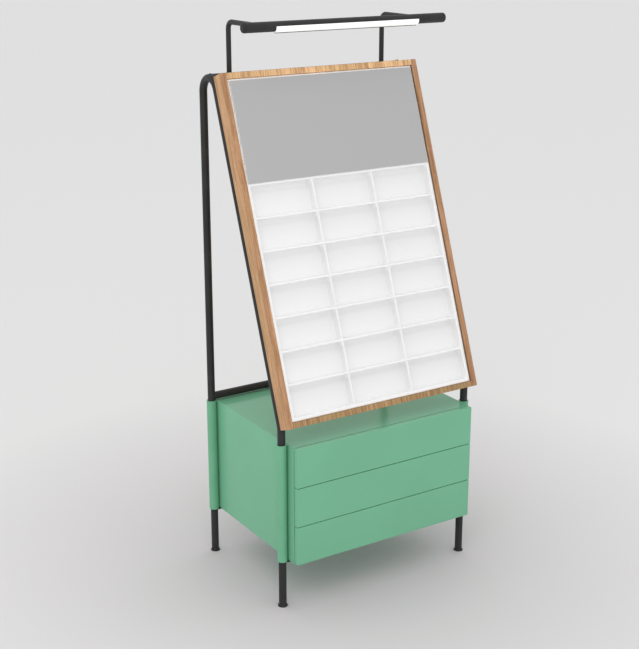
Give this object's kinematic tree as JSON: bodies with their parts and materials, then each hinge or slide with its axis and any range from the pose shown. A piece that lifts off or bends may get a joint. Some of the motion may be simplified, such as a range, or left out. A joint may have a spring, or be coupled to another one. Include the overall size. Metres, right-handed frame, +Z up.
{
  "type": "display stand",
  "caption": "Floor-standing shop display: bent-tube frame with a sloping wood-framed compartment tray, a lamp bar on top and a cabinet of sliding drawers below.",
  "frame": {"origin": "centre of the footprint on the floor", "axes": "+X right, +Y towards the back, +Z up; the drawers face -Y"},
  "size_m": [0.657, 0.4735, 1.6],
  "materials": {
    "black_powder_coat": "satin",
    "black_plastic": "matte",
    "green_powder_coat": "satin",
    "green_lacquer": "satin",
    "zinc_plated_steel": "satin",
    "oak": "satin",
    "blackened_screws": "satin",
    "white_plastic": "satin",
    "header_gloss": "gloss",
    "opal_diffuser": "satin",
    "birch_plywood": "satin"
  },
  "bodies": {
    "frame": {"side_frame_left": "black_powder_coat", "side_frame_right": "black_powder_coat", "rear_cross_tube": "black_powder_coat", "top_cross_tube": "black_powder_coat", "front_floor_brace": "black_powder_coat", "rear_floor_brace": "black_powder_coat", "lower_leg_front_left": "black_powder_coat", "lower_leg_front_right": "black_powder_coat", "lower_leg_rear_left": "black_powder_coat", "lower_leg_rear_right": "black_powder_coat", "foot_glides": "black_plastic", "corner_sleeve_front_left": "green_powder_coat", "corner_sleeve_front_right": "green_powder_coat", "corner_sleeve_rear_left": "green_powder_coat", "corner_sleeve_rear_right": "green_powder_coat", "cabinet_side_left": "green_lacquer", "cabinet_side_right": "green_lacquer", "cabinet_top": "green_lacquer", "cabinet_floor": "green_lacquer", "cabinet_back": "green_lacquer", "runner_rails_left": "zinc_plated_steel", "runner_rails_right": "zinc_plated_steel", "case_stile_left": "oak", "case_stile_right": "oak", "case_rail_bottom": "oak", "case_rail_top": "oak", "case_back": "oak", "case_screws": "blackened_screws", "tray_rim_frame": "white_plastic", "tray_floor": "white_plastic", "header_panel": "header_gloss", "tray_divider_left": "white_plastic", "tray_divider_right": "white_plastic", "tray_shelf_1": "white_plastic", "tray_shelf_2": "white_plastic", "tray_shelf_3": "white_plastic", "tray_shelf_4": "white_plastic", "tray_shelf_5": "white_plastic", "tray_shelf_6": "white_plastic", "lamp_arm_left": "black_powder_coat", "lamp_arm_right": "black_powder_coat", "lamp_body": "black_powder_coat", "lamp_diffuser": "opal_diffuser", "led_strip": "white_plastic", "lamp_cap_left": "black_plastic", "lamp_cap_right": "black_plastic"},
    "drawer_lower": {"drawer_front_lower": "green_lacquer", "drawer_box_lower": "birch_plywood", "drawer_sliders_lower": "zinc_plated_steel"},
    "drawer_middle": {"drawer_front_middle": "green_lacquer", "drawer_box_middle": "birch_plywood", "drawer_sliders_middle": "zinc_plated_steel"},
    "drawer_upper": {"drawer_front_upper": "green_lacquer", "drawer_box_upper": "birch_plywood", "drawer_sliders_upper": "zinc_plated_steel"}
  },
  "joints": [
    {"name": "drawer_lower_slide", "type": "slide", "parent": "frame", "child": "drawer_lower", "axis": [0, -1, 0], "range_m": [0, 0.3]},
    {"name": "drawer_middle_slide", "type": "slide", "parent": "frame", "child": "drawer_middle", "axis": [0, -1, 0], "range_m": [0, 0.3]},
    {"name": "drawer_upper_slide", "type": "slide", "parent": "frame", "child": "drawer_upper", "axis": [0, -1, 0], "range_m": [0, 0.3]}
  ]
}
